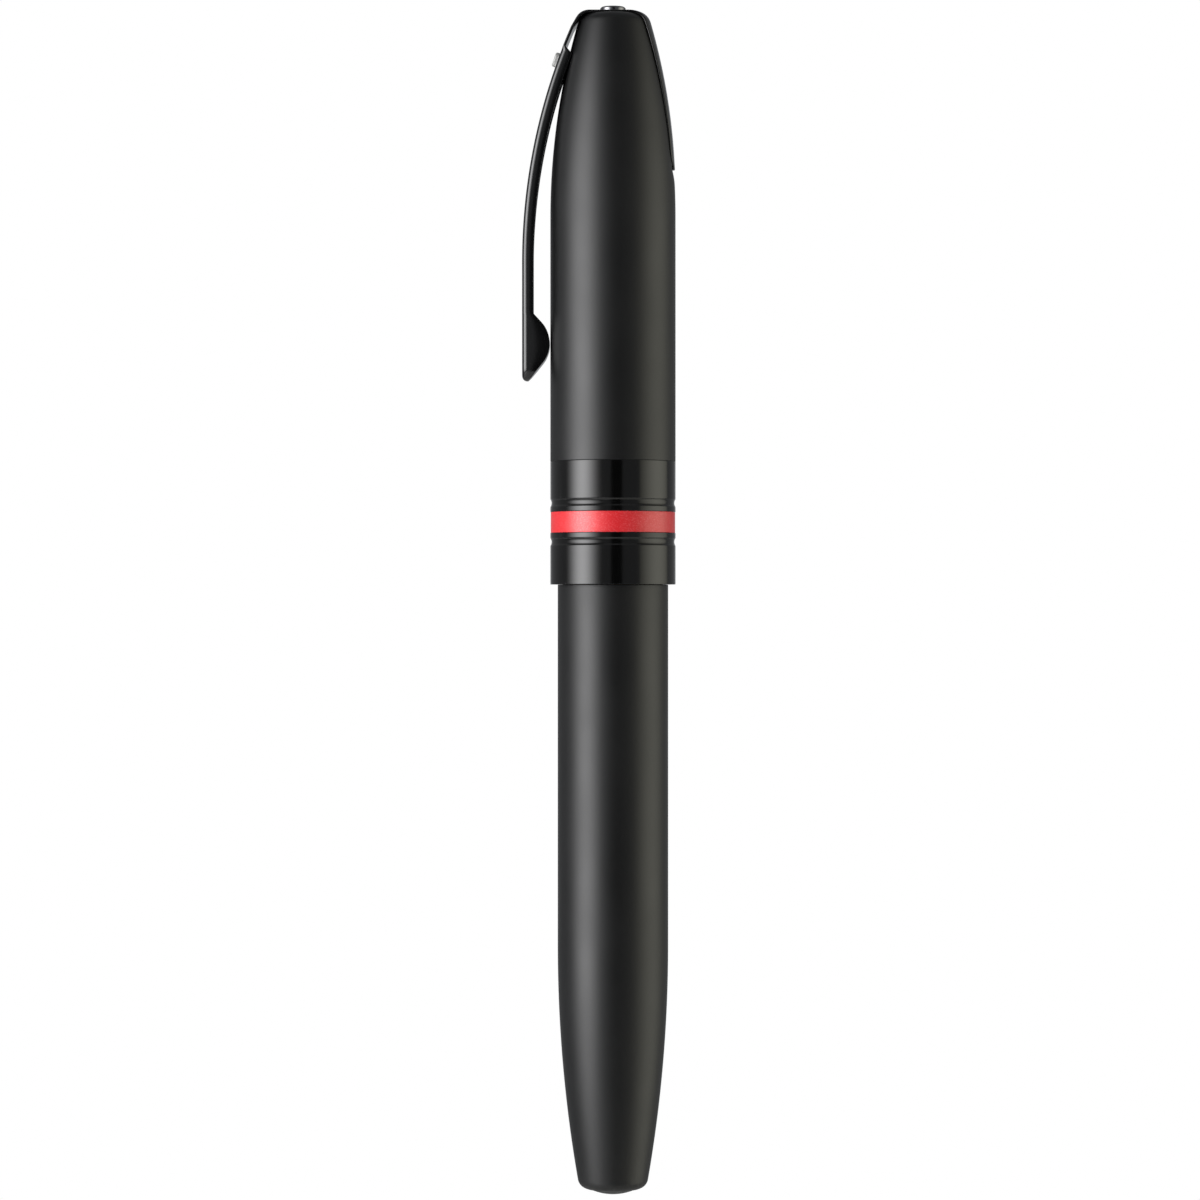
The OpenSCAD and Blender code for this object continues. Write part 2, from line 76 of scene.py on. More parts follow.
def held(outline, gap):
    """The outline with a point close to each end of its long straights, so that they shade flat."""
    points = []
    for (r0, z0), (r1, z1) in zip(outline, outline[1:]):
        points.append((r0, z0))
        length = math.hypot(r1 - r0, z1 - z0)
        if length > 6 * gap:
            for s in (gap / length, 1 - gap / length):
                points.append((r0 + (r1 - r0) * s, z0 + (z1 - z0) * s))
    return points + [outline[-1]]


def turned(outline, edge=0.05, steps=144, open_ends=False):
    """Mesh of an outline of (radius, height) in mm, spun about the axis, with its corners broken."""
    closed = list(outline) if open_ends else list(outline) + [outline[0]]
    points = held(closed, 2.5 * edge)
    bm = bmesh.new()
    verts = [bm.verts.new((r * MM, 0, z * MM)) for r, z in (points if open_ends else points[:-1])]
    lines = [bm.edges.new(pair) for pair in zip(verts, verts[1:])]
    if not open_ends:
        lines.append(bm.edges.new((verts[-1], verts[0])))
    bmesh.ops.spin(bm, geom=verts + lines, cent=(0, 0, 0), axis=(0, 0, 1), dvec=(0, 0, 0),
                   angle=2 * math.pi, steps=steps, use_merge=True)
    bmesh.ops.remove_doubles(bm, verts=bm.verts, dist=1e-7)
    bmesh.ops.recalc_face_normals(bm, faces=bm.faces)
    corners = [e for e in bm.edges if e.is_manifold and e.calc_face_angle() > 0.5]
    if edge and corners:
        bmesh.ops.bevel(bm, geom=corners, offset=edge * MM, offset_type="OFFSET", segments=3,
                        profile=0.5, affect="EDGES", material=-1, clamp_overlap=True)
    return bm


def as_object(bm, name):
    """The mesh as a smooth-shaded object in the scene, sharp only where its faces turn steeply."""
    mesh = bpy.data.meshes.new(name)
    bm.to_mesh(mesh)
    bm.free()
    mesh.shade_smooth()
    mesh.set_sharp_from_angle(angle=math.radians(38))
    piece = bpy.data.objects.new(name, mesh)
    bpy.context.scene.collection.objects.link(piece)
    return piece


def fitted(piece, body, slot, material, *stands_for):
    """The piece with its finish, riding on its body in place of the CAD nodes it stands for."""
    piece.data.materials.clear()
    piece.data.materials.append(material)
    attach(piece, body)
    if stands_for:
        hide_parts(*stands_for)
    return piece


def lathed(outline, name, body, slot, material, node, **how):
    """A turned piece with its finish, riding on its body in place of its CAD node."""
    return fitted(as_object(turned(outline, **how), name), body, slot, material, node)


def tube(outer, inner, low, high):
    """Outline of a plain ring between two radii and two heights."""
    return [(outer, low), (outer, high), (inner, high), (inner, low)]


def round_wire(middle_r, middle_z, radius, sides):
    """Outline of round stock with its middle at a radius and height."""
    angles = [2 * math.pi * k / sides for k in range(sides)]
    return [(middle_r + radius * math.cos(a), middle_z + radius * math.sin(a)) for a in angles]


def node_group(name, inputs, outputs):
    """A new shader group with number sockets, and its two end nodes."""
    group = bpy.data.node_groups.new(name, "ShaderNodeTree")
    for socket, value in inputs:
        group.interface.new_socket(socket, in_out="INPUT",
                                   socket_type="NodeSocketFloat").default_value = value
    for socket in outputs:
        group.interface.new_socket(socket, in_out="OUTPUT", socket_type="NodeSocketFloat")
    return group, group.nodes.new("NodeGroupInput"), group.nodes.new("NodeGroupOutput")


def added(tree, kind, settings=(), values=(), links=()):
    """A node of that kind, with its settings, fixed socket values and incoming links."""
    node = tree.nodes.new(kind)
    for key, value in dict(settings).items():
        setattr(node, key, value)
    for key, value in dict(values).items():
        node.inputs[key].default_value = value
    for key, source in dict(links).items():
        tree.links.new(source, node.inputs[key])
    return node


def in_mm(tree, stretch=(1, 1, 1)):
    """The piece's own coordinates in millimetres, stretched along its axes."""
    place = added(tree, "ShaderNodeTexCoord").outputs["Object"]
    return added(tree, "ShaderNodeMapping", values={"Scale": [1000 * s for s in stretch]},
                 links={"Vector": place}).outputs["Vector"]


def fine_grain_group():
    """Fine grain of a sprayed or moulded skin, and the slow drift of its sheen over the piece."""
    group, ins, outs = node_group("fine_grain", [("Grain mm", 0.1), ("Drift mm", 6.0)], ["Height", "Drift"])
    place = in_mm(group)
    for size, out, detail in (("Grain mm", "Height", 3.0), ("Drift mm", "Drift", 2.0)):
        per_mm = added(group, "ShaderNodeMath", {"operation": "DIVIDE"}, {0: 1.0}, {1: ins.outputs[size]})
        noise = added(group, "ShaderNodeTexNoise", {}, {"Detail": detail},
                      {"Vector": place, "Scale": per_mm.outputs[0]})
        group.links.new(noise.outputs["Fac"], outs.inputs[out])
    return group


def lathe_marks_group():
    """Faint rings left by a lathe or a polishing mop, as height along the axis."""
    group, ins, outs = node_group("lathe_marks", [("Pitch mm", 0.05)], ["Height"])
    place = added(group, "ShaderNodeSeparateXYZ", links={"Vector": in_mm(group)})
    rings = added(group, "ShaderNodeMath", {"operation": "DIVIDE"}, {},
                  {0: place.outputs["Z"], 1: ins.outputs["Pitch mm"]})
    noise = added(group, "ShaderNodeTexNoise", {"noise_dimensions": "1D"}, {"Scale": 1.0, "Detail": 2.0},
                  {"W": rings.outputs[0]})
    group.links.new(noise.outputs["Fac"], outs.inputs["Height"])
    return group


def lighter_corners_group():
    """Mask of the sharp outer corners, broken up by noise, where the finish takes a lighter colour."""
    group, ins, outs = node_group("lighter_corners", [("Start", 0.53), ("Full", 0.62)], ["Mask"])
    ridge = added(group, "ShaderNodeNewGeometry").outputs["Pointiness"]
    patch = added(group, "ShaderNodeTexNoise", {}, {"Scale": 1.6, "Detail": 4.0}, {"Vector": in_mm(group)})
    mask = added(group, "ShaderNodeMapRange", {}, {}, {"Value": ridge, "From Min": ins.outputs["Start"],
                                                       "From Max": ins.outputs["Full"]})
    broken = added(group, "ShaderNodeMath", {"operation": "MULTIPLY", "use_clamp": True}, {},
                   {0: mask.outputs[0], 1: patch.outputs["Fac"]})
    group.links.new(broken.outputs[0], outs.inputs["Mask"])
    return group


fine_grain = fine_grain_group()
lathe_marks = lathe_marks_group()
lighter_corners = lighter_corners_group()


def new_finish(name, fixed):
    """A new material, its tree and its shader, with the shader's constant values set."""
    material = bpy.data.materials.new(name)
    material.use_nodes = True
    shader = material.node_tree.nodes["Principled BSDF"]
    for socket, value in fixed.items():
        shader.inputs[socket].default_value = value
    return material, material.node_tree, shader


def coated(name, colour, corner_colour, rough, grain=0.1, depth=0.4, marks=0.0, pitch=0.05, drift=6.0, shade=0.12,
           metallic=0.0, fixed=()):
    """A finish whose sheen drifts between two roughnesses over fine grain and lathe rings, lighter on its
    sharp outer corners.

    depth and marks are the heights of the grain and of the rings, in micrometres.
    """
    material, tree, shader = new_finish(name, {"Metallic": metallic, **dict(fixed)})
    skin = added(tree, "ShaderNodeGroup", {"node_tree": fine_grain}, {"Grain mm": grain, "Drift mm": drift})
    corner_mask = added(tree, "ShaderNodeGroup", {"node_tree": lighter_corners})
    tint = added(tree, "ShaderNodeMix", {"data_type": "RGBA"},
                 {"A": [c * (1 - shade) for c in colour] + [1],
                  "B": [c * (1 + shade) for c in colour] + [1]},
                 {"Factor": skin.outputs["Drift"]})
    # The lighter corner colour goes on the sharp outer corners, broken up by noise.
    edge = added(tree, "ShaderNodeMix", {"data_type": "RGBA"}, {"B": list(corner_colour) + [1]},
                 {"Factor": corner_mask.outputs["Mask"], "A": tint.outputs["Result"]})
    tree.links.new(edge.outputs["Result"], shader.inputs["Base Color"])
    sheen = added(tree, "ShaderNodeMapRange", {}, {"From Min": 0.3, "From Max": 0.7, "To Min": rough[0],
                                                   "To Max": rough[1]}, {"Value": skin.outputs["Drift"]})
    tree.links.new(sheen.outputs[0], shader.inputs["Roughness"])
    bump = added(tree, "ShaderNodeBump", {}, {"Strength": 1.0, "Distance": depth * 1e-6},
                 {"Height": skin.outputs["Height"]})
    if marks:
        rings = added(tree, "ShaderNodeGroup", {"node_tree": lathe_marks}, {"Pitch mm": pitch})
        bump = added(tree, "ShaderNodeBump", {}, {"Strength": 1.0, "Distance": marks * 1e-6},
                     {"Height": rings.outputs["Height"], "Normal": bump.outputs["Normal"]})
    tree.links.new(bump.outputs["Normal"], shader.inputs["Normal"])
    return material


satin_black = coated("satin_black_lacquer", (0.0016, 0.0017, 0.0019), (0.02, 0.02, 0.021), (0.39, 0.45),
                     grain=0.07, depth=0.9, drift=9.0, fixed={"IOR": 1.49})

barrel_r, tail_rim, mouth = extent("barrel_tube")
BARREL_WALL = 0.75
PARALLEL = 41.5
TAIL_FLAT = 2.85
TAIL_ROUND = 1.2
cavity_floor = extent("tail_plug")[2]
outside = upside_down(tapered(barrel_r, PARALLEL, -tail_rim, TAIL_FLAT, TAIL_ROUND))
bore = upside_down(tapered(barrel_r - BARREL_WALL, PARALLEL, -tail_rim - BARREL_WALL, TAIL_FLAT,
                           TAIL_ROUND - BARREL_WALL))
bore = [p for p in bore if p[1] > cavity_floor + 0.2]
plug_hole = TAIL_FLAT - 0.65
outline = [(barrel_r, mouth)] + outside + [(plug_hole, tail_rim), (plug_hole, cavity_floor),
                                           (bore[-1][0] - 0.05, cavity_floor)]
outline += bore[::-1] + [(barrel_r - BARREL_WALL, mouth)]
lathed(outline, "barrel_tube_lacquered", "barrel", "satin_black_lacquer", satin_black, "barrel_tube",
       edge=0.04, steps=192)

# ---------------------------------------------------------------- tail stopper
# A turned stopper closes the tail. Its shank is pressed into the nose of the barrel, and its low
# dome sits on the rim with a hairline gap round it. It is lacquered satin black like the barrel.
dome_h = tail_rim - extent("tail_plug")[1]
head_r = TAIL_FLAT - 0.05
dome_r = (head_r**2 + dome_h**2) / (2 * dome_h)
tail_tip = tail_rim - dome_h
spread = math.asin(head_r / dome_r)
dome = [(dome_r * math.sin(spread * s), tail_tip + dome_r * (1 - math.cos(spread * s)))
        for s in sweep_of(14)]
outline = dome + [(plug_hole, tail_rim), (plug_hole, cavity_floor), (0, cavity_floor)]
lathed(outline, "tail_stopper", "barrel", "satin_black_lacquer", satin_black, "tail_plug",
       edge=0.04, open_ends=True)

# ---------------------------------------------------------------- threaded insert
# A turned brass insert is pressed into the mouth of the barrel. Ahead of the mouth it stands out as
# the spigot that the cap's sleeve slides on, and its bore takes the thread of the section.
brass = coated("turned_brass", (0.72, 0.50, 0.20), (0.86, 0.66, 0.34), (0.22, 0.34), grain=0.3, depth=0.5,
               marks=1.2, pitch=0.12, metallic=1.0, shade=0.08)

spigot_r, insert_low, spigot_top = extent("barrel_insert")
insert_r = barrel_r - BARREL_WALL
thread_r = spigot_r - 0.8
outline = [(insert_r, insert_low), (insert_r, mouth - 0.25), (insert_r - 0.12, mouth - 0.12),
           (insert_r - 0.12, mouth), (spigot_r, mouth), (spigot_r, spigot_top), (thread_r, spigot_top),
           (thread_r, insert_low)]
lathed(outline, "threaded_insert", "barrel", "turned_brass", brass, "barrel_insert", edge=0.08)

# ---------------------------------------------------------------- refill spring
# A compression spring of hard steel wire lies in the tail of the barrel and keeps the refill
# pressed forward. Its ends are closed and ground flat.
bright_steel = coated("bright_steel", (0.66, 0.66, 0.645), (0.8, 0.8, 0.79), (0.24, 0.32), grain=0.08,
                      depth=0.3, metallic=1.0, shade=0.06)


def coiled(section, turns, rise, per_turn):
    """A section of (radius, height) points in mm, wound about the axis and closed at both ends."""
    bm = bmesh.new()
    start = bm.faces.new([bm.verts.new((r * MM, 0, z * MM)) for r, z in section])
    steps = round(turns * per_turn)
    bmesh.ops.spin(bm, geom=[start] + list(start.edges) + list(start.verts), cent=(0, 0, 0), axis=(0, 0, 1),
                   dvec=(0, 0, rise * MM / steps), angle=2 * math.pi * turns, steps=steps)
    open_edges = [e for e in bm.edges if e.is_boundary]
    if open_edges:
        bmesh.ops.holes_fill(bm, edges=open_edges, sides=0)
    bmesh.ops.recalc_face_normals(bm, faces=bm.faces)
    return bm


spring_low, spring_high = extent("refill_spring")[1:]
WIRE_R = 0.25
COIL_R = 2.4
wire = round_wire(COIL_R, spring_low + WIRE_R, WIRE_R, 14)
spring = coiled(wire, turns=6, rise=spring_high - spring_low - 2 * WIRE_R, per_turn=48)
fitted(as_object(spring, "refill_spring_wire"), "barrel", "bright_steel", bright_steel, "refill_spring")

# ---------------------------------------------------------------- trim ring
# A loose gloss ring lies between the spigot and the section. It is turned, blackened and polished,
# and comes forward with the section as that is unscrewed.
gloss_black = coated("gloss_black_plating", (0.0016, 0.0016, 0.0016), (0.012, 0.012, 0.012), (0.13, 0.17),
                     grain=0.5, depth=0.25, marks=0.12, pitch=0.06, drift=5.0, fixed={"IOR": 1.48})

trim_r, trim_low, trim_high = extent("trim_ring")
outline = tube(trim_r, thread_r, trim_low, trim_high)
lathed(outline, "trim_ring_polished", "trim", "gloss_black_plating", gloss_black, "trim_ring", edge=0.16)

# ---------------------------------------------------------------- grip section
# The section is moulded in black plastic with a fine matt grain. Its stem has a cut thread, its
# parallel land is what the cap grips, and the part for the fingers is swept to a narrow waist.
grip_black = coated("moulded_black_grip", (0.012, 0.012, 0.0125), (0.022, 0.022, 0.023), (0.5, 0.6),
                    grain=0.12, depth=2.2, drift=4.0)

land_r, stem_low, face_z = extent("grip_section")
BORE_R = 3.4
HOLE_R = 2.6
SEAT_Z = 22.0
STEM_R = 4.95
CORE_R = 4.6
SHOULDER_Z = trim_high + 0.05
LAND_TOP = SHOULDER_Z + 6.2
GRIP_R = land_r - 0.25
WAIST_R = land_r - 1.2
waist_z = face_z - 6.1
sweep_r = ((GRIP_R - WAIST_R) ** 2 + (waist_z - LAND_TOP) ** 2) / (2 * (GRIP_R - WAIST_R))


def grip_radius(z):
    """Radius of the swept grip at height z."""
    return WAIST_R + sweep_r - math.sqrt(sweep_r**2 - (z - waist_z) ** 2)


RINGS = [LAND_TOP + 2.4 + 1.5 * k for k in range(5)]
RING_HALF = 0.16
RING_DEPTH = 0.12
groove_low, groove_high, groove_r = 1.9, 2.7, 4.29
outline = [(BORE_R, stem_low), (CORE_R - 0.25, stem_low), (CORE_R, stem_low + 0.3), (CORE_R, 0.5),
           (STEM_R, 0.85), (STEM_R, groove_low), (groove_r, groove_low), (groove_r, groove_high),
           (STEM_R, groove_high), (STEM_R, SHOULDER_Z), (land_r, SHOULDER_Z), (land_r, LAND_TOP),
           (GRIP_R, LAND_TOP)]
heights = [LAND_TOP + 0.5 + (face_z - 0.55 - LAND_TOP - 0.5) * s for s in sweep_of(36)]
heights = [z for z in heights if all(abs(z - ring) > 0.3 for ring in RINGS)]
cuts = [(ring + side * RING_HALF, cut) for ring in RINGS
        for side, cut in ((-1, 0), (-0.5, RING_DEPTH), (0.5, RING_DEPTH), (1, 0))]
outline += [(grip_radius(z) - cut, z) for z, cut in sorted([(z, 0) for z in heights] + cuts)]
outline += [(WAIST_R - 0.25, face_z), (HOLE_R, face_z), (HOLE_R, SEAT_Z), (BORE_R, SEAT_Z)]
lathed(outline, "grip_moulding", "section", "moulded_black_grip", grip_black, "grip_section", edge=0.045)

PITCH = 0.75
THREAD_LEN = 7.6
ridge = [(CORE_R - 0.04, stem_low + 0.35), (STEM_R, stem_low + 0.58), (STEM_R, stem_low + 0.68),
         (CORE_R - 0.04, stem_low + 0.91)]
turns = THREAD_LEN / PITCH
thread = coiled(ridge, turns, rise=turns * PITCH, per_turn=72)
fitted(as_object(thread, "section_thread"), "section", "moulded_black_grip", grip_black)

# ---------------------------------------------------------------- section seal
# A rubber ring in a groove of the stem keeps the section from working loose.
# It is moulded nitrile rubber, dull black with a trace of moulding dust.
rubber = coated("seal_rubber", (0.014, 0.014, 0.014), (0.03, 0.03, 0.03), (0.62, 0.74),
                grain=0.05, depth=1.2)

seal_out, seal_low, seal_high = extent("section_o_ring")
seal_r = (seal_high - seal_low) / 2
seal_z = (seal_high + seal_low) / 2
outline = round_wire(seal_out - seal_r, seal_z, seal_r, 20)
lathed(outline, "section_seal", "section", "seal_rubber", rubber, "section_o_ring", edge=0)

# ---------------------------------------------------------------- nib holder
# The holder is a moulded cone pressed into the front of the section. It is a slightly glossier
# plastic than the grip, and grips the fibre nib all round.
holder_black = coated("holder_plastic", (0.013, 0.013, 0.014), (0.03, 0.03, 0.03), (0.3, 0.38), grain=0.2,
                      depth=0.8)

flange_r, seat_low, holder_top = extent("nib_holder")
NIB_R = extent("fibre_nib")[0]
cone_low = face_z + 0.7
outline = [(NIB_R, seat_low), (HOLE_R, seat_low), (HOLE_R, face_z), (flange_r, face_z),
           (flange_r, cone_low), (flange_r - 0.3, cone_low), (NIB_R + 0.6, holder_top),
           (NIB_R, holder_top)]
lathed(outline, "nib_holder_cone", "section", "holder_plastic", holder_black, "nib_holder", edge=0.09)

# ---------------------------------------------------------------- fibre nib
# The nib is a ground bullet of bonded polyester fibre that runs back into the ink store. Its
# strands run along it, and the amber detecting ink darkens it towards the point.


def strands(name, pale, stained, stain_from, stain_to, rough):
    """Bonded fibre: fine strands along the axis in shades of one colour, darker with ink up the axis."""
    material, tree, shader = new_finish(name, {"IOR": 1.4})
    strand = added(tree, "ShaderNodeTexNoise", {}, {"Scale": 9.0, "Detail": 4.0, "Roughness": 0.6},
                   {"Vector": in_mm(tree, (1, 1, 0.05))})
    height = added(tree, "ShaderNodeSeparateXYZ", links={"Vector": in_mm(tree)})
    soak = added(tree, "ShaderNodeMapRange", {}, {"From Min": stain_from, "From Max": stain_to},
                 {"Value": height.outputs["Z"]})
    ink = added(tree, "ShaderNodeMix", {"data_type": "RGBA"},
                {"A": list(pale) + [1], "B": list(stained) + [1]},
                {"Factor": soak.outputs[0]})
    lit = added(tree, "ShaderNodeMapRange", {}, {"From Min": 0.35, "From Max": 0.65, "To Min": 0.72,
                                                 "To Max": 1.1},
                {"Value": strand.outputs["Fac"]})
    shaded = added(tree, "ShaderNodeVectorMath", {"operation": "SCALE"}, {},
                   {0: ink.outputs["Result"], "Scale": lit.outputs[0]})
    tree.links.new(shaded.outputs[0], shader.inputs["Base Color"])
    dry = added(tree, "ShaderNodeMapRange", {}, {"To Min": rough - 0.08, "To Max": rough + 0.08},
                {"Value": strand.outputs["Fac"]})
    tree.links.new(dry.outputs[0], shader.inputs["Roughness"])
    bump = added(tree, "ShaderNodeBump", {}, {"Strength": 1.0, "Distance": 12e-6},
                 {"Height": strand.outputs["Fac"]})
    tree.links.new(bump.outputs["Normal"], shader.inputs["Normal"])
    return material


nib_low, nib_tip = extent("fibre_nib")[1:]
felt = strands("nib_felt", (0.62, 0.40, 0.12), (0.36, 0.20, 0.045), nib_tip - 3.4, nib_tip - 0.6, 0.82)
outline = [(0, nib_low), (NIB_R, nib_low), (NIB_R, nib_tip - 2.3)]
outline += tapered(NIB_R, nib_tip - 2.3, nib_tip, 0.2, 0.35, 14)[1:] + [(0, nib_tip)]
lathed(outline, "fibre_nib_bullet", "section", "nib_felt", felt, "fibre_nib",
       edge=0.05, steps=72, open_ends=True)

# ---------------------------------------------------------------- refill
# The refill is a drawn tube of natural polypropylene with a plug in its tail and a collar at its
# mouth. A rod of crimped fibre in it holds the amber ink and is bored to take the tail of the nib.
milky = coated("cartridge_plastic", (0.66, 0.64, 0.58), (0.78, 0.77, 0.72), (0.36, 0.46), grain=0.25,
               depth=1.0, shade=0.05,
               fixed={"IOR": 1.49, "Subsurface Weight": 0.25, "Subsurface Scale": 0.002})
fibre = strands("ink_fibre", (0.60, 0.38, 0.13), (0.48, 0.28, 0.08), -40.0, 20.0, 0.9)

tube_r, tube_low, tube_high = extent("cartridge_tube")
TUBE_BORE = tube_r - 0.5
outline = tube(tube_r, TUBE_BORE, tube_low, tube_high)
lathed(outline, "refill_tube", "section", "cartridge_plastic", milky, "cartridge_tube", edge=0.06, steps=96)
rod_r, rod_low, rod_high = extent("ink_reservoir")
outline = [(0, rod_low), (rod_r, rod_low), (rod_r, rod_high), (NIB_R, rod_high), (NIB_R, nib_low),
           (0, nib_low)]
lathed(outline, "ink_rod", "section", "ink_fibre", fibre, "ink_reservoir",
       edge=0.05, steps=96, open_ends=True)
collar_r, collar_low, collar_high = extent("cartridge_collar")
outline = tube(collar_r, NIB_R + 0.05, collar_low, collar_high)
lathed(outline, "refill_collar", "section", "cartridge_plastic", milky, "cartridge_collar",
       edge=0.05, steps=96)
plug_r, plug_low, plug_high = extent("cartridge_plug")
outline = [(0, plug_low), (plug_r, plug_low), (plug_r, tube_low), (TUBE_BORE, tube_low),
           (TUBE_BORE, plug_high), (0, plug_high)]
lathed(outline, "refill_plug", "section", "cartridge_plastic", milky, "cartridge_plug",
       edge=0.12, steps=96, open_ends=True)

# ---------------------------------------------------------------- clutch ring
# A split ring of spring steel with six bowed fingers sits in a groove of the cap. It holds the cap
# on the land of the section by friction, and lets the cap turn.
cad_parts["clutch_ring"].data.materials.clear()
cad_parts["clutch_ring"].data.materials.append(bright_steel)

# ---------------------------------------------------------------- cap shell
# The cap is a drawn brass shell, parallel and then tapered to a small flat crown, and lacquered
# satin black like the barrel. A shallow slot is milled down its back for the strap of the clip.
cap_r = extent("upper_band")[0]
neck_low = extent("cap_shell")[1]
crown = extent("cap_shell")[2]
neck_r = cap_r - 0.4
bore_r = neck_r - 0.5
CAP_PARALLEL = 42.3
CROWN_FLAT = 2.75
CROWN_ROUND = 1.35
CROWN_T = 1.6
SCREW_HOLE_R = 0.9
STRAP_T = 0.32
STRAP_W = 4.4
STRAP_START = CAP_PARALLEL + 2.3
strap_end = extent("clip_yoke")[1]
slot_low = strap_end - 0.3
slot_high = crown - CROWN_ROUND - 5.4
wall = cap_r - bore_r
band_top = extent("upper_band")[2]

outside = tapered(cap_r, CAP_PARALLEL, crown, CROWN_FLAT, CROWN_ROUND, 60)
fine = [((1 - s) * r0 + s * r1, (1 - s) * z0 + s * z1) for (r0, z0), (r1, z1) in zip(outside, outside[1:])
        for s in ((0, 1 / 3, 2 / 3) if slot_low - 2.4 < z0 < slot_low + 2 else (0,))]
outside = fine + outside[-1:]
bore = [p for p in tapered(bore_r, CAP_PARALLEL, crown - wall, CROWN_FLAT,
                           CROWN_ROUND - wall) if p[1] < crown - CROWN_T]
outline = [(bore_r, neck_low), (neck_r, neck_low), (neck_r, band_top), (cap_r, band_top)] + outside
outline += [(SCREW_HOLE_R, crown), (SCREW_HOLE_R, crown - CROWN_T), (bore[-1][0], crown - CROWN_T)]
outline += bore[::-1]
shell = turned(outline, edge=0.045, steps=192)
SHOULDER = 1.6
SHOULDER_D = 0.25
slot_centre = slot_low + STRAP_W / 2
for v in shell.verts:
    r, z = math.hypot(v.co.x, v.co.y) / MM, v.co.z / MM
    if v.co.x > 0 and slot_low - SHOULDER < z < slot_centre and r > cap_r - 0.2:
        away = math.hypot(v.co.y / MM, z - slot_centre)
        near = max(0.0, min(0.99, 1 - (away - STRAP_W / 2) / SHOULDER))
        sunk = SHOULDER_D * (1 - math.sqrt(1 - near**2)) * ((slot_centre - z) / away) ** 2
        v.co.xy *= 1 - sunk / r


def cut(piece, tool, how="DIFFERENCE"):
    """The piece cut by, joined to or kept within the tool, which is used up."""
    step = piece.modifiers.new("cut", "BOOLEAN")
    step.operation = how
    step.solver = "EXACT"
    step.object = tool
    depsgraph = bpy.context.evaluated_depsgraph_get()
    piece.data = bpy.data.meshes.new_from_object(piece.evaluated_get(depsgraph))
    piece.modifiers.clear()
    bpy.data.objects.remove(tool)
    return piece


def upright_slab(width, low, high, near, far):
    """Slab across X from near to far, rounded at its lower end, as the plan of the strap."""
    bm = bmesh.new()
    place = Matrix.Translation((near * MM, 0, (low + width / 2) * MM))
    place = place @ Matrix.Rotation(math.pi / 2, 4, "Y")
    bmesh.ops.create_circle(bm, cap_ends=True, cap_tris=False, segments=64, radius=width / 2 * MM,
                            matrix=place)
    for v in bm.verts:
        if v.co.z > (low + width / 2) * MM:
            v.co.z = high * MM
            v.co.y = math.copysign(width / 2 * MM, v.co.y) if abs(v.co.y) > 1e-6 else 0
    bmesh.ops.remove_doubles(bm, verts=bm.verts, dist=1e-7)
    up = bmesh.ops.extrude_face_region(bm, geom=list(bm.faces))
    moved = [v for v in up["geom"] if isinstance(v, bmesh.types.BMVert)]
    bmesh.ops.translate(bm, verts=moved, vec=((far - near) * MM, 0, 0))
    bmesh.ops.recalc_face_normals(bm, faces=bm.faces)
    return as_object(bm, "slab")


TOOL_LOW = 44.0
floor_side = tapered(cap_r - STRAP_T, STRAP_START, crown, CROWN_FLAT, CROWN_ROUND, 48)
floor_side = [(cap_r - STRAP_T, TOOL_LOW)] + [p for p in floor_side if p[1] < slot_high]
outline = floor_side + [(floor_side[-1][0], slot_high), (cap_r + 1, slot_high), (cap_r + 1, TOOL_LOW)]
slot_tool = cut(as_object(turned(outline, edge=0, steps=192), "slot_tool"),
                upright_slab(STRAP_W + 0.06, slot_low, slot_high + 1, 1.0, cap_r + 2), "INTERSECT")
cap = cut(as_object(shell, "cap_shell_lacquered"), slot_tool)

bm = bmesh.new()
bm.from_mesh(cap.data)
bmesh.ops.dissolve_degenerate(bm, dist=2e-6, edges=bm.edges)
rim = [e for e in bm.edges if e.is_manifold and e.calc_face_angle() > 0.6
       and slot_low - 0.1 < e.verts[0].co.z / MM < slot_high - 1.0 and e.verts[0].co.x > 0
       and min(math.hypot(v.co.x, v.co.y) for v in e.verts) / MM > bore_r + 0.3
       and max(abs(v.co.y) for v in e.verts) / MM < STRAP_W / 2 + 0.1]
bmesh.ops.bevel(bm, geom=rim, offset=0.05 * MM, offset_type="OFFSET", segments=2, profile=0.5,
                affect="EDGES", material=-1, clamp_overlap=True)
bpy.data.objects.remove(cap)
fitted(as_object(bm, "cap_shell_lacquered"), "cap", "satin_black_lacquer", satin_black, "cap_shell")

# ---------------------------------------------------------------- bands of the cap
# Two gloss bands are pressed on the neck of the cap, one each side of the coloured ring. They are
# turned brass, plated black and polished, each with one shallow rounded groove.
GROOVE_W = 0.9
GROOVE_D = 0.14
GROOVE_INSET = 1.03


def grooved(r, z_low, z_high, groove_z):
    """Outer side of a band from z_low to z_high, with its groove at groove_z."""
    arc = ((GROOVE_W / 2) ** 2 + GROOVE_D**2) / (2 * GROOVE_D)
    half = math.asin(GROOVE_W / 2 / arc)
    dip = [(r + arc - GROOVE_D - arc * math.cos(half * (2 * s - 1)),
            groove_z + arc * math.sin(half * (2 * s - 1)))
           for s in sweep_of(12)]
    lips = 0.06
    return [(r, z_low), (r, dip[0][1] - lips), (r - 0.008, dip[0][1] + 0.02)] + dip[1:-1] + [
        (r - 0.008, dip[-1][1] - 0.02), (r, dip[-1][1] + lips), (r, z_high)]


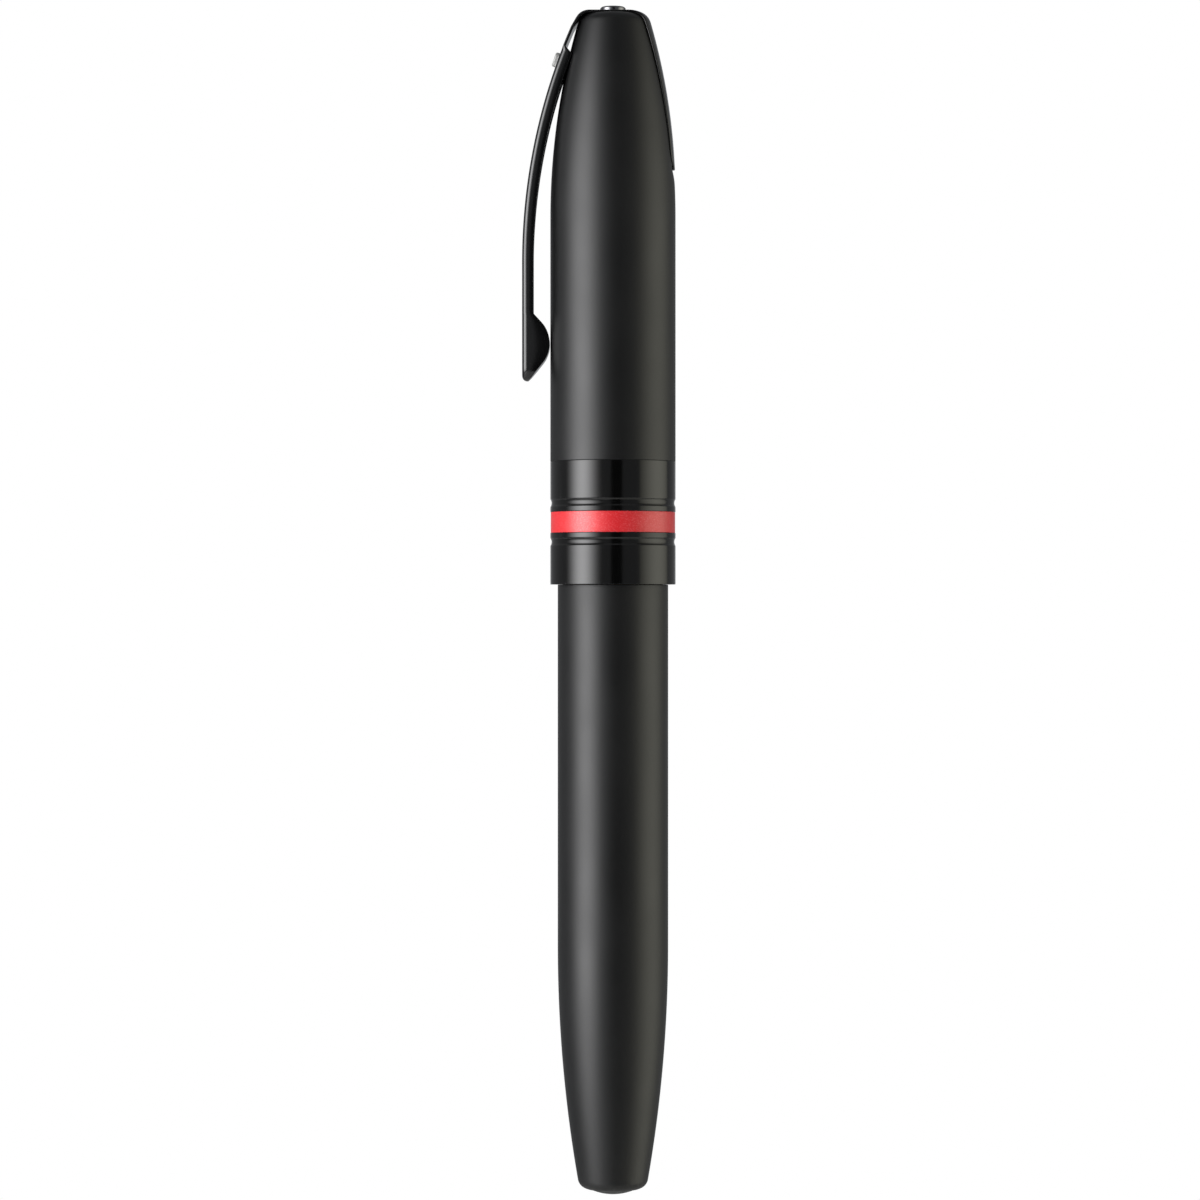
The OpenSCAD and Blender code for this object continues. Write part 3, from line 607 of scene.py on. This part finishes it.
lower_low, ring_low = extent("lower_band")[1:]
ring_high = extent("upper_band")[1]
sleeve_bore = extent("cap_sleeve")[0] - 0.42
lip_top = extent("cap_sleeve")[1]
outline = grooved(cap_r, lower_low, ring_low, ring_low - GROOVE_INSET)
outline += [(neck_r, ring_low), (neck_r, lip_top), (sleeve_bore, lip_top), (sleeve_bore, lower_low)]
lathed(outline, "lower_band_polished", "cap", "gloss_black_plating", gloss_black, "lower_band",
       edge=0.07, steps=192)
outline = grooved(cap_r, ring_high, band_top, ring_high + GROOVE_INSET)
outline += [(neck_r, band_top), (neck_r, ring_high)]
lathed(outline, "upper_band_polished", "cap", "gloss_black_plating", gloss_black, "upper_band",
       edge=0.09, steps=192)

# ---------------------------------------------------------------- coloured ring
# The red ring is a plain band between the two black ones, a hair smaller than they are. Its red
# lacquer has fine metal flake in it, which gives a satin sparkle: the flakes tilt a little, and random
# flake cells are painted a paler red as painted glints.


def flake_lacquer(name, colour, pale, rough):
    """Lacquer with fine flake: small facets that each tilt a little, with random cells painted paler as
    painted glints.
    """
    material, tree, shader = new_finish(name, {"IOR": 1.5, "Metallic": 0.1, "Coat Roughness": 0.3,
                                               "Coat Weight": 0.5})
    flake = added(tree, "ShaderNodeTexVoronoi", {"feature": "F1"}, {"Scale": 11.0}, {"Vector": in_mm(tree)})
    cloud = added(tree, "ShaderNodeTexNoise", {}, {"Scale": 0.5, "Detail": 3.0}, {"Vector": in_mm(tree)})
    glint = added(tree, "ShaderNodeSeparateColor", links={"Color": flake.outputs["Color"]})
    # Painted glints: the brightest flake cells have their base colour mixed up to 0.3 of the way to the
    # paler red.
    painted_glint = added(tree, "ShaderNodeMapRange", {}, {"From Min": 0.6, "From Max": 1.0, "To Max": 0.3},
                   {"Value": glint.outputs["Red"]})
    base = added(tree, "ShaderNodeMix", {"data_type": "RGBA"},
                 {"A": list(colour) + [1], "B": list(pale) + [1]},
                 {"Factor": painted_glint.outputs[0]})
    tree.links.new(base.outputs["Result"], shader.inputs["Base Color"])
    sheen = added(tree, "ShaderNodeMapRange", {}, {"To Min": rough - 0.05, "To Max": rough + 0.07},
                  {"Value": cloud.outputs["Fac"]})
    tree.links.new(sheen.outputs[0], shader.inputs["Roughness"])
    bump = added(tree, "ShaderNodeBump", {}, {"Strength": 1.0, "Distance": 2.2e-6},
                 {"Height": glint.outputs["Green"]})
    tree.links.new(bump.outputs["Normal"], shader.inputs["Normal"])
    return material


# The second colour is the paler red of the painted glints in the flake.
red = flake_lacquer("red_lacquer", (0.68, 0.010, 0.016), (0.86, 0.20, 0.22), 0.41)
ring_r = extent("coloured_ring")[0]
outline = tube(ring_r, neck_r, ring_low, ring_high)
lathed(outline, "coloured_ring_lacquered", "cap", "red_lacquer", red, "coloured_ring", edge=0.05, steps=192)

# ---------------------------------------------------------------- sleeve, liner and bush in the cap
# A brass sleeve guides the mouth of the cap on the spigot. Behind it a moulded liner closes round
# the nib on a rubber washer, and a brass bush under the crown takes the clip's screw.
liner_white = coated("liner_plastic", (0.62, 0.62, 0.58), (0.72, 0.72, 0.69), (0.42, 0.52), grain=0.3,
                     depth=1.0, shade=0.05,
                     fixed={"IOR": 1.49, "Subsurface Weight": 0.2, "Subsurface Scale": 0.002})

sleeve_r, sleeve_low, sleeve_high = extent("cap_sleeve")
outline = tube(sleeve_r, sleeve_bore, sleeve_low, sleeve_high)
lathed(outline, "cap_guide_sleeve", "cap", "turned_brass", brass, "cap_sleeve", edge=0.07)

liner_r, liner_low, liner_high = extent("inner_cap")
washer_r, washer_low, washer_high = extent("inner_cap_seal")
washer_bore = HOLE_R + 1.3
chamber_r = washer_bore + 0.8
chamber_top = liner_high - 0.8
shoulder_top = washer_high + 0.8
mouth_r = land_r + 0.2
outline = [(0, liner_high), (chamber_r, liner_high), (chamber_r, shoulder_top + 1.4),
           (liner_r - 0.1, shoulder_top), (liner_r - 0.1, liner_low + 1.5), (liner_r, liner_low + 1.5),
           (liner_r, liner_low), (mouth_r, liner_low), (mouth_r, LAND_TOP + 8), (washer_r, LAND_TOP + 10),
           (washer_r, washer_high), (washer_bore, washer_high), (washer_bore, chamber_top),
           (0, chamber_top)]
lathed(outline, "cap_liner", "cap", "liner_plastic", liner_white, "inner_cap", edge=0.12, open_ends=True)
outline = tube(washer_r, washer_bore, washer_low, washer_high)
lathed(outline, "liner_washer", "cap", "seal_rubber", rubber, "inner_cap_seal", edge=0.1, steps=96)
bush_r, bush_low, bush_high = extent("crown_bush")
outline = tube(bush_r, SCREW_HOLE_R, bush_low, bush_high)
lathed(outline, "crown_bush_turned", "cap", "turned_brass", brass, "crown_bush", edge=0.12, steps=96)

# ---------------------------------------------------------------- strap of the clip
# The strap is one blank of spring steel, bent over the crown and pressed into the slot down the
# back. It is plated black and lies flush there, with softened long edges and a round end.
spring_black = coated("gloss_black_spring", (0.003, 0.003, 0.0032), (0.012, 0.012, 0.0125), (0.15, 0.20),
                      grain=0.3, depth=0.15, drift=4.0, fixed={"IOR": 1.6})


def rounded_loop(corners, steps):
    """Closed loop of points round the corners (u, y, radius), with steps + 1 points on each."""
    loop = []
    count = len(corners)
    for k, (u, y, radius) in enumerate(corners):
        before = Vector(corners[k - 1][:2]) - Vector((u, y))
        after = Vector(corners[(k + 1) % count][:2]) - Vector((u, y))
        reach = min(radius, 0.45 * before.length, 0.45 * after.length)
        if reach < 1e-6:
            loop += [(u, y)] * (steps + 1)
            continue
        a = before.normalized() * reach
        b = after.normalized() * reach
        for s in sweep_of(steps):
            angle = s * math.pi / 2
            point = Vector((u, y)) + a * (1 - math.sin(angle)) + b * (1 - math.cos(angle))
            loop.append((point.x, point.y))
    return loop


def lofted(loops):
    """Skin over closed loops of points in mm that all have the same count, with both ends closed."""
    bm = bmesh.new()
    across = len(loops[0])
    bmesh.ops.create_grid(bm, x_segments=across, y_segments=len(loops) - 1, size=1)
    for v in bm.verts:
        i = round((v.co.x + 1) / 2 * across) % across
        j = round((v.co.y + 1) / 2 * (len(loops) - 1))
        v.co = Vector(loops[j][i]) * MM
    bmesh.ops.remove_doubles(bm, verts=bm.verts, dist=2e-7)
    bmesh.ops.dissolve_degenerate(bm, dist=2e-7, edges=bm.edges)
    bmesh.ops.holes_fill(bm, edges=[e for e in bm.edges if e.is_boundary], sides=0)
    bmesh.ops.recalc_face_normals(bm, faces=bm.faces)
    return bm


strap_round = CROWN_ROUND + STRAP_T
strap_top = crown + STRAP_T
NECK_LEAN = math.radians(30)
END_ROUND = 0.12
arc_r = ((strap_top - strap_round - STRAP_START) ** 2 + (cap_r - CROWN_FLAT) ** 2 - strap_round**2) / (
    2 * (cap_r - CROWN_FLAT - strap_round))


def strap_stations():
    """Centre line of the strap's outer face as (turned or straight, radius or x, height, lean)."""
    rows = []
    end_rise = [0.0, 0.02, 0.06, 0.12, 0.2, 0.32, 0.5, 0.75, 1.05, 1.4, 1.8, 2.2]
    lean_of = lambda z: math.asin((z - STRAP_START) / arc_r)
    top_lean = math.asin((strap_top - strap_round - STRAP_START) / (arc_r - strap_round))
    top = STRAP_START + arc_r * math.sin(top_lean)
    heights = [strap_end + h for h in end_rise]
    count = 30
    full = end_rise[-1]
    heights += [strap_end + full + (top - strap_end - full) * k / count for k in range(1, count + 1)]
    for z in heights:
        lean = lean_of(z)
        rows.append((True, cap_r - arc_r + arc_r * math.cos(lean), z, lean))
    last = lean_of(top)
    for s in sweep_of(10)[1:]:
        lean = last + (math.pi / 2 - last) * s
        rows.append((True, CROWN_FLAT + strap_round * math.cos(lean),
                     strap_top - strap_round + strap_round * math.sin(lean), lean))
    for x in (1.1, 0.0, -1.1, -2.2, -CROWN_FLAT):
        rows.append((False, x, strap_top, math.pi / 2))
    for s in sweep_of(8)[1:]:
        lean = math.pi / 2 + (math.pi / 2 - NECK_LEAN) * s
        rows.append((False, -CROWN_FLAT + strap_round * math.cos(lean),
                     strap_top - strap_round + strap_round * math.sin(lean), lean))
    return rows


loops = []
for is_turned, r, z, lean in strap_stations():
    half = STRAP_W / 2
    up = z - strap_end
    if up < half:
        half = max(0.03, math.sqrt(half**2 - (half - up) ** 2))
    sink = END_ROUND - math.sqrt(END_ROUND**2 - (END_ROUND - up) ** 2) if up < END_ROUND else 0
    face = [(sink, half * k / 6) for k in range(-5, 6)]
    under = [(STRAP_T, -half * k / 6) for k in range(-5, 6)]
    ring = rounded_loop([(sink, -half, 0.13), (sink, half, 0.13), (STRAP_T, half, 0.04),
                         (STRAP_T, -half, 0.04)], 4)
    ring = ring[:5] + face[1:-1] + ring[5:15] + under[1:-1] + ring[15:]
    loop = []
    for d, y in ring:
        if is_turned:
            spin = math.asin(max(-1, min(1, y / r)))
            out = r - d * math.cos(lean)
            loop.append((out * math.cos(spin), out * math.sin(spin), z - d * math.sin(lean)))
        else:
            loop.append((r - d * math.cos(lean), y, z - d * math.sin(lean)))
    loops.append(loop)
fitted(as_object(lofted(loops), "clip_strap"), "cap", "gloss_black_spring", spring_black, "clip_yoke")

# ---------------------------------------------------------------- clip screw
# A low round-headed screw of dark steel holds the strap on the crown. It has a six-sided socket
# and a chamfered edge that has been polished bright.
dark_steel = coated("dark_steel", (0.19, 0.19, 0.20), (0.5, 0.5, 0.5), (0.18, 0.26), grain=0.2, depth=0.3,
                    marks=0.4, pitch=0.05, metallic=1.0)

SCREW_R = 0.85
head_r = extent("clip_screw")[0]
screw_low, screw_high = extent("clip_screw")[1:]
SOCKET = 1.3
outline = [(0, screw_low), (SCREW_R - 0.2, screw_low), (SCREW_R, screw_low + 0.2), (SCREW_R, strap_top),
           (head_r, strap_top), (head_r, screw_high - 0.15), (head_r - 0.15, screw_high), (0, screw_high)]
screw = as_object(turned(outline, edge=0.035, steps=96, open_ends=True), "clip_screw_head")
bm = bmesh.new()
bmesh.ops.create_cone(bm, cap_ends=True, cap_tris=False, segments=6, radius1=SOCKET / 2 * MM,
                      radius2=SOCKET / 2 * MM, depth=1 * MM,
                      matrix=Matrix.Translation((0, 0, (strap_top + 0.1 + 0.5) * MM)))
screw = cut(screw, as_object(bm, "socket_tool"))
fitted(screw, "cap", "dark_steel", dark_steel, "clip_screw")

# ---------------------------------------------------------------- clip blade
# The blade is pressed from spring steel: a thin neck that bows out, folds into a channel with
# softened outer corners, tapers down to a rounded tip and swells to the heel that bears on the cap.
CLIP_STAND = 3.23
reach = cap_r + CLIP_STAND
bow_z = crown - 28.5
tip_z = crown - 42.12
pivot = Vector((-CROWN_FLAT - strap_round * math.cos(NECK_LEAN),
                crown - CROWN_ROUND + strap_round * math.sin(NECK_LEAN)))
NECK_LEN = 1.23
neck_end = pivot - NECK_LEN * Vector((math.sin(NECK_LEAN), math.cos(NECK_LEAN)))
bow_r = ((neck_end.y - bow_z) ** 2 + (reach + neck_end.x) ** 2) / (2 * (reach + neck_end.x))
FLANGE_DROP = 2.3
flange_top = neck_end.y - FLANGE_DROP
RAMP = 1.9
FLANGE = 1.3
CLIP_T = 0.4
TIP_W = 3.2
TIP_R = 0.62
HEEL_START = 7.9
HEEL_RUN = 7.3
HEEL_TOP = 7.71
HEEL_UP = 4.3
HEEL_R = 3.6
HEEL_REACH = 3.17
UPPER_FLANK = 0.93
LOWER_FLANK = 0.8


def heel_depth(up):
    """Depth of the folded side at a height above the tip: a round heel between two straight flanks."""
    off = abs(up - HEEL_UP)
    slope = UPPER_FLANK if up > HEEL_UP else LOWER_FLANK
    touch = HEEL_R * slope / math.hypot(1, slope)
    rise = math.sqrt(HEEL_R**2 - min(off, touch) ** 2)
    return HEEL_REACH - HEEL_R + rise - slope * max(0, off - touch)


def half_width(z):
    """Half the width of the blade at height z, tapered from the flanges' top to the round tip."""
    end = tip_z + TIP_W / 2
    if z >= flange_top:
        return STRAP_W / 2
    if z >= end:
        return TIP_W / 2 + (STRAP_W - TIP_W) / 2 * (z - end) / (flange_top - end)
    return math.sqrt(max(0.0004, (TIP_W / 2) ** 2 - (end - z) ** 2))


stations = []
for s in sweep_of(4):
    at = pivot + (neck_end - pivot) * (0.017 + 0.983 * s)
    lean = NECK_LEAN
    stations.append((at, Vector((math.cos(lean), -math.sin(lean))), STRAP_T))
bow_top = math.asin((neck_end.y - bow_z) / bow_r)
ramp_at = math.asin((flange_top - bow_z) / bow_r)
bow_marks = [bow_top + (ramp_at + 0.004 - bow_top) * s for s in sweep_of(7)[1:]]
bow_marks += [ramp_at + 0.004 - 0.0012 * k for k in range(1, 13)]
bow_marks += [(ramp_at - 0.0104) * (1 - s) for s in sweep_of(40)[1:]]
for angle in bow_marks:
    at = Vector((bow_r - reach - bow_r * math.cos(angle), bow_z + bow_r * math.sin(angle)))
    grown = (ramp_at + 0.002 - angle) * bow_r * RAMP
    depth = max(STRAP_T, min(FLANGE, STRAP_T + grown))
    stations.append((at, Vector((math.cos(angle), -math.sin(angle))), depth))
straight = [bow_z - (bow_z - tip_z - HEEL_START) * s for s in sweep_of(10)[1:]]
straight += [tip_z + HEEL_START - HEEL_RUN * s for s in sweep_of(50)[1:]]
for z in straight:
    up = z - tip_z
    depth = FLANGE if up > HEEL_TOP else heel_depth(up)
    stations.append((Vector((-reach, z)), Vector((1, 0)), depth))
for s in sweep_of(10)[1:]:
    turn = s * math.pi / 2 * 0.985
    z = tip_z + 0.6 * (1 - math.sin(turn))
    back = TIP_R * (1 - math.cos(turn))
    stations.append((Vector((-reach + back, z)), Vector((1, 0)),
                     max(0.05, heel_depth(max(0.12, z - tip_z)) - back - 0.22 * s**3)))

loops = []
for at, inward, depth in stations:
    half = half_width(at.y)
    soft = min(0.62, 0.1 + 0.6 * max(0, depth - STRAP_T))
    if depth > STRAP_T + 0.15 and at.y - tip_z > HEEL_TOP - 0.25:
        floor = CLIP_T
    else:
        floor = depth
    lip = 0.07
    inner = max(0.01, half - CLIP_T)
    ring = rounded_loop([(0, -half, soft), (depth, -half, lip), (depth, -inner, lip), (floor, -inner, 0.1),
                         (floor, inner, 0.1), (depth, inner, lip), (depth, half, lip), (0, half, soft)], 4)
    loops.append([(at.x + inward.x * u, y, at.y + inward.y * u) for u, y in ring])
fitted(as_object(lofted(loops), "clip_blade_pressed"), "clip", "gloss_black_spring", spring_black,
       "clip_blade")

# ---------------------------------------------------------------- clip stud
# A small oval stud of bright steel is riveted through the face of the clip near its top.
# Its proud end is rounded at the rim and has a satin polish.
satin_steel = coated("satin_steel", (0.42, 0.42, 0.41), (0.5, 0.5, 0.49), (0.5, 0.58), grain=0.02,
                     depth=0.1, metallic=0.5, shade=0.05)

STUD_DROP = 3.65
rivet_at = math.asin((neck_end.y - STUD_DROP - bow_z) / bow_r)
RIVET_L = 1.7
RIVET_W = 1.0
PROUD = 0.55
bm = bmesh.new()
bmesh.ops.create_circle(bm, cap_ends=True, cap_tris=False, segments=48, radius=RIVET_W / 2 * MM)
for v in bm.verts:
    v.co.y += math.copysign((RIVET_L - RIVET_W) / 2 * MM, v.co.y) if abs(v.co.y) > 1e-7 else 0
base = list(bm.faces)
up = bmesh.ops.extrude_face_region(bm, geom=base)
moved = [v for v in up["geom"] if isinstance(v, bmesh.types.BMVert)]
bmesh.ops.translate(bm, verts=moved, vec=(0, 0, (PROUD + CLIP_T) * MM))
bmesh.ops.recalc_face_normals(bm, faces=bm.faces)
top = [e for e in bm.edges if all(v.co.z > 0.5 * PROUD * MM for v in e.verts) and e.calc_face_angle() > 0.5]
bmesh.ops.bevel(bm, geom=top, offset=0.2 * MM, offset_type="OFFSET", segments=5, profile=0.5,
                affect="EDGES", material=-1, clamp_overlap=True)
outward = Vector((-math.cos(rivet_at), 0, math.sin(rivet_at)))
along = Vector((math.sin(rivet_at), 0, math.cos(rivet_at)))
seat = Vector((bow_r - reach, 0, bow_z)) + outward * (bow_r - CLIP_T)
turn_to = Matrix((Vector((0, 1, 0)), along, outward)).transposed().to_4x4()
if turn_to.determinant() < 0:
    turn_to = Matrix((Vector((0, -1, 0)), along, outward)).transposed().to_4x4()
bmesh.ops.transform(bm, matrix=Matrix.Translation(seat * MM) @ turn_to, verts=bm.verts)
fitted(as_object(bm, "clip_stud"), "clip", "bright_steel", satin_steel, "clip_rivet")

# ---------------------------------------------------------------- studio
# A plain pale floor well below the object, and soft light cards as in a small product studio: a
# bright one at the front left, a dimmer warm one at the right, and a dark one behind the camera.


def emission_card(name, azimuth, distance, width, height, centre_z, colour, strength, spread, rise):
    """Upright card facing the object, brightest in the middle, seen only in reflections and as light."""
    bm = bmesh.new()
    bmesh.ops.create_grid(bm, x_segments=1, y_segments=1, size=0.5)
    bmesh.ops.scale(bm, vec=(width, height, 1), verts=bm.verts)
    card = as_object(bm, name)
    a = math.radians(azimuth)
    place = Vector((math.sin(a) * distance, -math.cos(a) * distance, centre_z))
    facing = Vector((place.x, place.y, 0)).normalized()
    card.matrix_world = Matrix.Translation(place) @ facing.to_track_quat("Z", "Y").to_matrix().to_4x4()
    material = bpy.data.materials.new(name)
    material.use_nodes = True
    tree = material.node_tree
    tree.nodes.clear()
    axes = added(tree, "ShaderNodeSeparateXYZ",
                 links={"Vector": added(tree, "ShaderNodeTexCoord").outputs["Object"]})
    fades = []
    for axis, size in (("X", spread), ("Y", rise)):
        part = added(tree, "ShaderNodeMath", {"operation": "DIVIDE"}, {1: size}, {0: axes.outputs[axis]})
        square = added(tree, "ShaderNodeMath", {"operation": "MULTIPLY"}, {},
                       {0: part.outputs[0], 1: part.outputs[0]})
        less = added(tree, "ShaderNodeMath", {"operation": "MULTIPLY"}, {1: -1.0}, {0: square.outputs[0]})
        if axis == "Y":
            less = added(tree, "ShaderNodeMath", {"operation": "MULTIPLY"}, {},
                         {0: less.outputs[0], 1: square.outputs[0]})
        fades.append(added(tree, "ShaderNodeMath", {"operation": "EXPONENT"}, {},
                           {0: less.outputs[0]}).outputs[0])
    both = added(tree, "ShaderNodeMath", {"operation": "MULTIPLY"}, {}, {0: fades[0], 1: fades[1]})
    power = added(tree, "ShaderNodeMath", {"operation": "MULTIPLY"}, {1: strength}, {0: both.outputs[0]})
    glow = added(tree, "ShaderNodeEmission", {}, {"Color": list(colour) + [1]},
                 {"Strength": power.outputs[0]})
    out = added(tree, "ShaderNodeOutputMaterial")
    tree.links.new(glow.outputs[0], out.inputs["Surface"])
    card.data.materials.append(material)
    card.visible_camera = False
    card.visible_shadow = False
    return card


emission_card("left_card", -58, 0.70, 1.10, 1.40, 0.08, (0.99, 0.99, 1.0), 8.6, 0.28, 0.38)
emission_card("right_card", 84, 0.70, 0.94, 1.40, -0.08, (1.0, 0.99, 0.86), 2.15, 0.42, 0.50)
emission_card("dark_card", 6.5, 0.52, 0.19, 1.2, 0.0, (0, 0, 0), 0.0, 1.0, 1.0)

bm = bmesh.new()
bmesh.ops.create_circle(bm, cap_ends=True, cap_tris=False, segments=96, radius=0.9,
                        matrix=Matrix.Translation((0, 0, -0.42)))
floor = as_object(bm, "floor")
floor.data.materials.append(coated("pale_floor", (0.78, 0.78, 0.77), (0.8, 0.8, 0.8), (0.7, 0.8), grain=1.0,
                                   depth=5.0, drift=60.0, shade=0.01))

world = bpy.data.worlds.new("studio")
world.use_nodes = True
bpy.context.scene.world = world
tree = world.node_tree
tree.nodes.clear()
sight = added(tree, "ShaderNodeTexCoord")
axes = added(tree, "ShaderNodeSeparateXYZ", links={"Vector": sight.outputs["Generated"]})
behind = added(tree, "ShaderNodeMapRange", {"interpolation_type": "SMOOTHSTEP"},
               {"From Min": 0.90, "From Max": 0.97, "To Min": 0.24, "To Max": 0.45},
               {"Value": axes.outputs["Y"]})
dim = added(tree, "ShaderNodeBackground", {}, {"Color": (0.95, 0.97, 1.0, 1)},
            {"Strength": behind.outputs[0]})
white = added(tree, "ShaderNodeBackground", {}, {"Color": (1, 1, 1, 1), "Strength": 1.0})
seen = added(tree, "ShaderNodeLightPath")
mix = added(tree, "ShaderNodeMixShader", links={0: seen.outputs["Is Camera Ray"], 1: dim.outputs[0],
                                                2: white.outputs[0]})
out = added(tree, "ShaderNodeOutputWorld", links={"Surface": mix.outputs[0]})
bpy.context.scene.view_settings.view_transform = "Standard"

# ---------------------------------------------------------------- camera
# The camera looks straight on from half way up, a little to the clip's side, from close enough for
# the faint bow of the rings to show.
DISTANCE = 0.42
WIDTH_SEEN = 0.138
SENSOR = 36
camera = bpy.data.objects.new("camera", bpy.data.cameras.new("camera"))
bpy.context.scene.collection.objects.link(camera)
camera.location = (-0.00149, -DISTANCE, -0.00175)
camera.rotation_euler = (math.pi / 2, 0, 0)
camera.data.sensor_width = SENSOR
camera.data.lens = SENSOR * DISTANCE / WIDTH_SEEN
camera.data.clip_start = 0.01
bpy.context.scene.camera = camera
